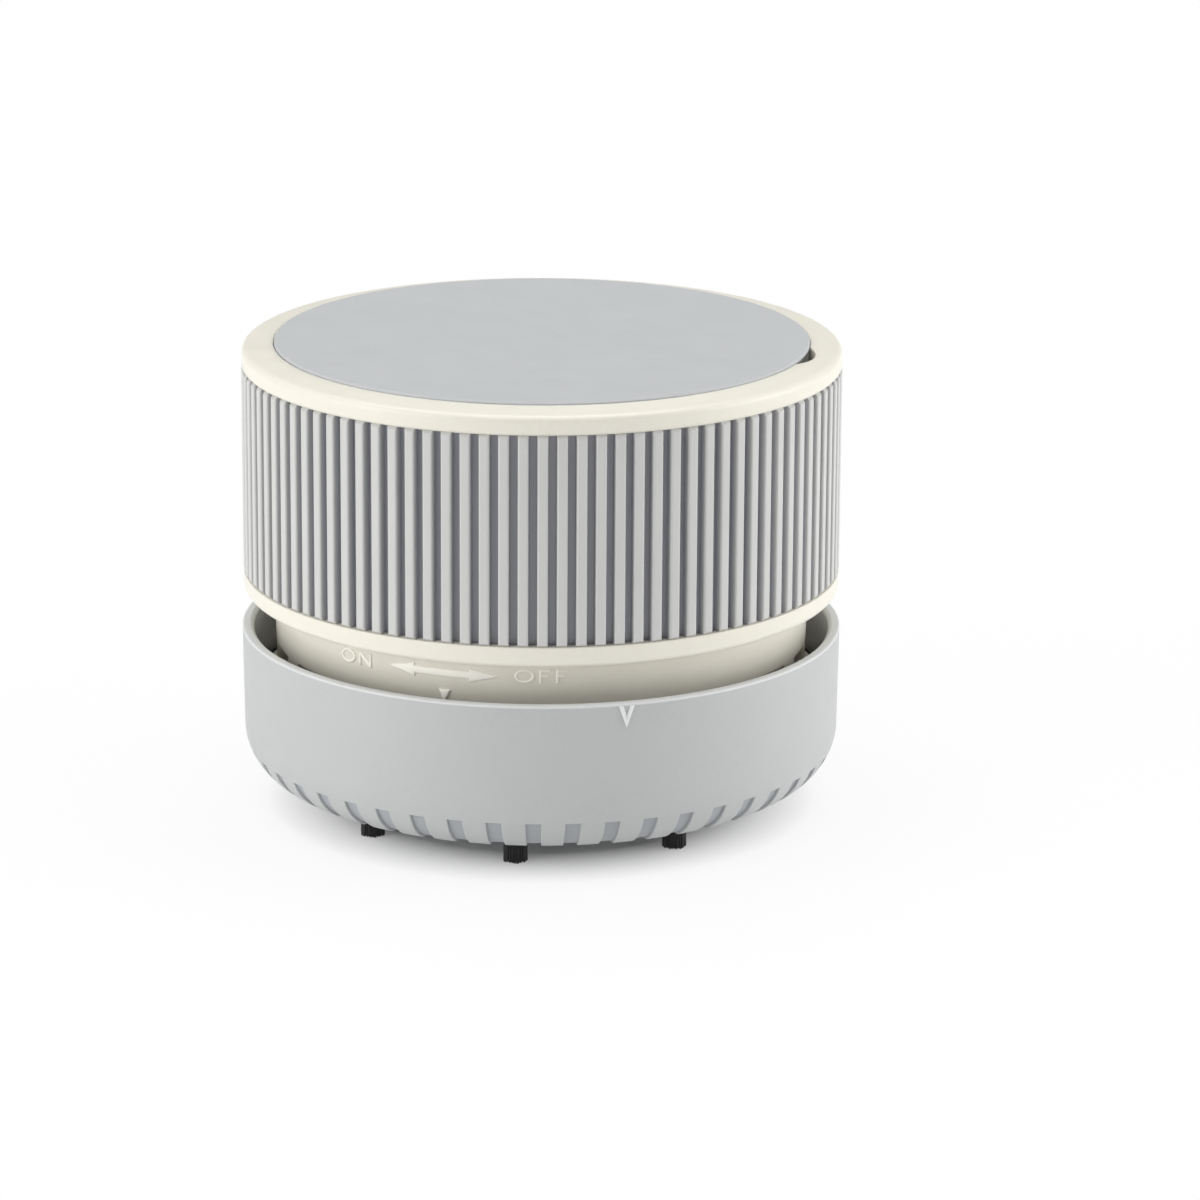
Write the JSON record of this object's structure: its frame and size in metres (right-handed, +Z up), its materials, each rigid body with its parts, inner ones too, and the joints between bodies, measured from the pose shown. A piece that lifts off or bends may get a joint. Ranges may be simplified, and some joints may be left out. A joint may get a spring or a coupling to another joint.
{
  "type": "desktop mini vacuum cleaner",
  "caption": "Round battery desk vacuum: ribbed twist-on head with disc lid, fan and filter, over a lift-off dust bowl standing on brush tufts.",
  "frame": {"origin": "centre of the footprint, on the table, at the tips of the brush tufts", "axes": "+Z up along the axis of the round body, -Y towards the front with the OFF word, +X to the right seen from the front"},
  "size_m": [0.082, 0.082, 0.065],
  "materials": {
    "bowl_grey": "fine satin moulded plastic",
    "case_ivory": "semi-gloss moulded plastic",
    "shell_grey": "satin moulded plastic",
    "lid_grey": "fine satin moulded plastic",
    "inner_ivory": "plain moulded plastic",
    "bristle_black": "nylon bristles",
    "filter_white": "non-woven filter cloth",
    "rubber_dark": "soft rubber",
    "black_plastic": "plain moulded plastic",
    "steel": "zinc plated",
    "magnet_dark": "sintered ferrite",
    "brass": "bare",
    "nickel": "nickel plated",
    "battery_wrap": "plain shrink wrap",
    "wire_red": "insulated wire",
    "wire_black": "insulated wire"
  },
  "bodies": {
    "base": {"dust_bowl": "bowl_grey", "inlet_tube": "bowl_grey", "brush_ring": "bowl_grey", "brush_tufts": "bristle_black"},
    "filter_unit": {"filter_frame": "inner_ivory", "filter_cloth": "filter_white", "seal_ring": "rubber_dark", "switch_wiper": "brass"},
    "head": {"neck_housing": "case_ivory", "grip_shell": "shell_grey", "top_ring": "case_ivory", "motor_plate": "inner_ivory", "motor_can": "steel", "motor_end_cap": "black_plastic", "motor_magnets": "magnet_dark", "motor_terminals": "brass", "motor_screws": "steel", "case_screws": "steel", "tray_screws": "steel", "battery_tray": "inner_ivory", "battery_front": "battery_wrap", "battery_rear": "battery_wrap", "link_plate": "nickel", "end_plates": "nickel", "contact_springs": "nickel", "switch_pads": "brass", "wire_supply": "wire_red", "wire_motor": "wire_red", "wire_return": "wire_black"},
    "rotor": {"motor_shaft": "steel", "armature": "steel", "commutator": "brass", "impeller": "black_plastic"},
    "lid": {"top_lid": "lid_grey"}
  },
  "joints": [
    {"name": "bowl_release", "type": "slide", "parent": "base", "child": "filter_unit", "axis": [0, 0, 1], "range_m": [0, 0.03]},
    {"name": "head_twist", "type": "hinge", "parent": "filter_unit", "child": "head", "pos_m": [0, 0, 0.0189], "axis": [0, 0, 1], "range_deg": [0, 36]},
    {"name": "fan_spin", "type": "hinge", "parent": "head", "child": "rotor", "pos_m": [0, 0, 0.0332], "axis": [0, 0, 1], "continuous": true},
    {"name": "lid_lift", "type": "slide", "parent": "head", "child": "lid", "axis": [0, 0, 1], "range_m": [0, 0.02]}
  ]
}
